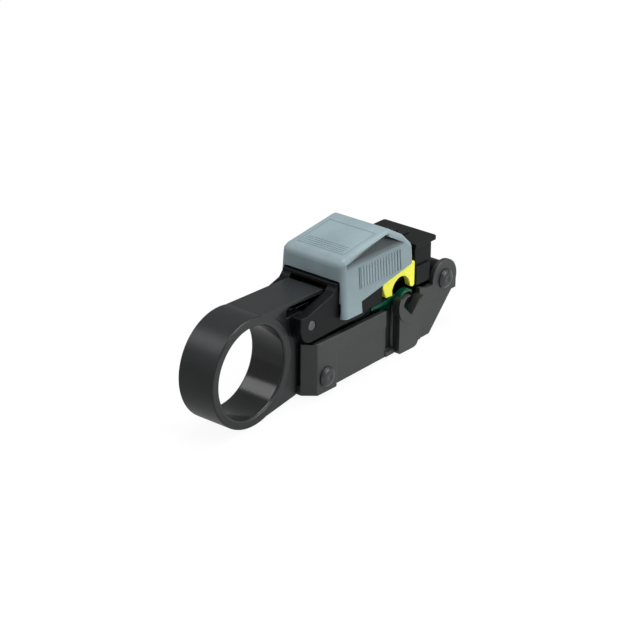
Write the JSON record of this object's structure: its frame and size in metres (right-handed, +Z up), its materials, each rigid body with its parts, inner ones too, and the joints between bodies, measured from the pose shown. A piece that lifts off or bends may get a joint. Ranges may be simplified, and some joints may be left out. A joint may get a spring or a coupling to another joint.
{
  "type": "coaxial_cable_stripper",
  "caption": "Hand-held rotary coaxial cable stripper with a finger ring, a hinged jaw and a lift-off blade cassette",
  "frame": {"origin": "The middle of the finger ring's bore, on the plane of symmetry", "axes": "+X runs from the ring along the tool to the ratchet end, +Y runs along the ring's bore to the far side of the picture and +Z runs up from the lower shell to the cassette"},
  "size_m": [0.1071, 0.0266, 0.0452],
  "materials": {
    "black_plastic": "matte",
    "grey_plastic": "satin",
    "yellow_plastic": "gloss",
    "green_plastic": "gloss",
    "holder_plastic": "matte",
    "bright_steel": "satin",
    "dark_steel": "gloss"
  },
  "bodies": {
    "frame": {"ring_frame": "black_plastic", "lower_shell": "black_plastic", "front_rivet": "dark_steel", "rear_rivet": "dark_steel", "pivot_pin": "bright_steel", "saddle_clip": "black_plastic", "block_spring": "bright_steel", "jaw_spring": "bright_steel", "pawl_spring": "bright_steel"},
    "jaw_body": {"jaw": "black_plastic"},
    "cassette": {"cassette_cover": "grey_plastic", "blade_holder": "holder_plastic", "blade_1": "bright_steel", "blade_2": "bright_steel", "blade_3": "bright_steel", "tie_screws": "bright_steel", "cover_screws": "bright_steel", "cable_guide_near": "yellow_plastic", "cable_guide_far": "yellow_plastic"},
    "block_body": {"cable_block": "green_plastic"},
    "pawl_body": {"ratchet_pawl": "black_plastic"}
  },
  "joints": [
    {"name": "jaw_hinge", "type": "hinge", "parent": "frame", "child": "jaw_body", "pos_m": [0.02174, 0, 0.00849], "axis": [0, -1, 0], "range_deg": [0, 20], "deforming": ["jaw_spring"]},
    {"name": "cassette_lift", "type": "slide", "parent": "jaw_body", "child": "cassette", "axis": [0, 0, 1], "range_m": [0, 0.015]},
    {"name": "block_travel", "type": "slide", "parent": "frame", "child": "block_body", "axis": [0, 0, -1], "range_m": [0, 0.001], "stiffness_N_per_m": 900, "springref_m": -0.001, "deforming": ["block_spring"]},
    {"name": "pawl_swing", "type": "hinge", "parent": "frame", "child": "pawl_body", "pos_m": [0.08395, 0, 0.0038], "axis": [0, 1, 0], "range_deg": [-12, 15], "stiffness_Nm_per_rad": 0.05, "deforming": ["pawl_spring"]}
  ]
}
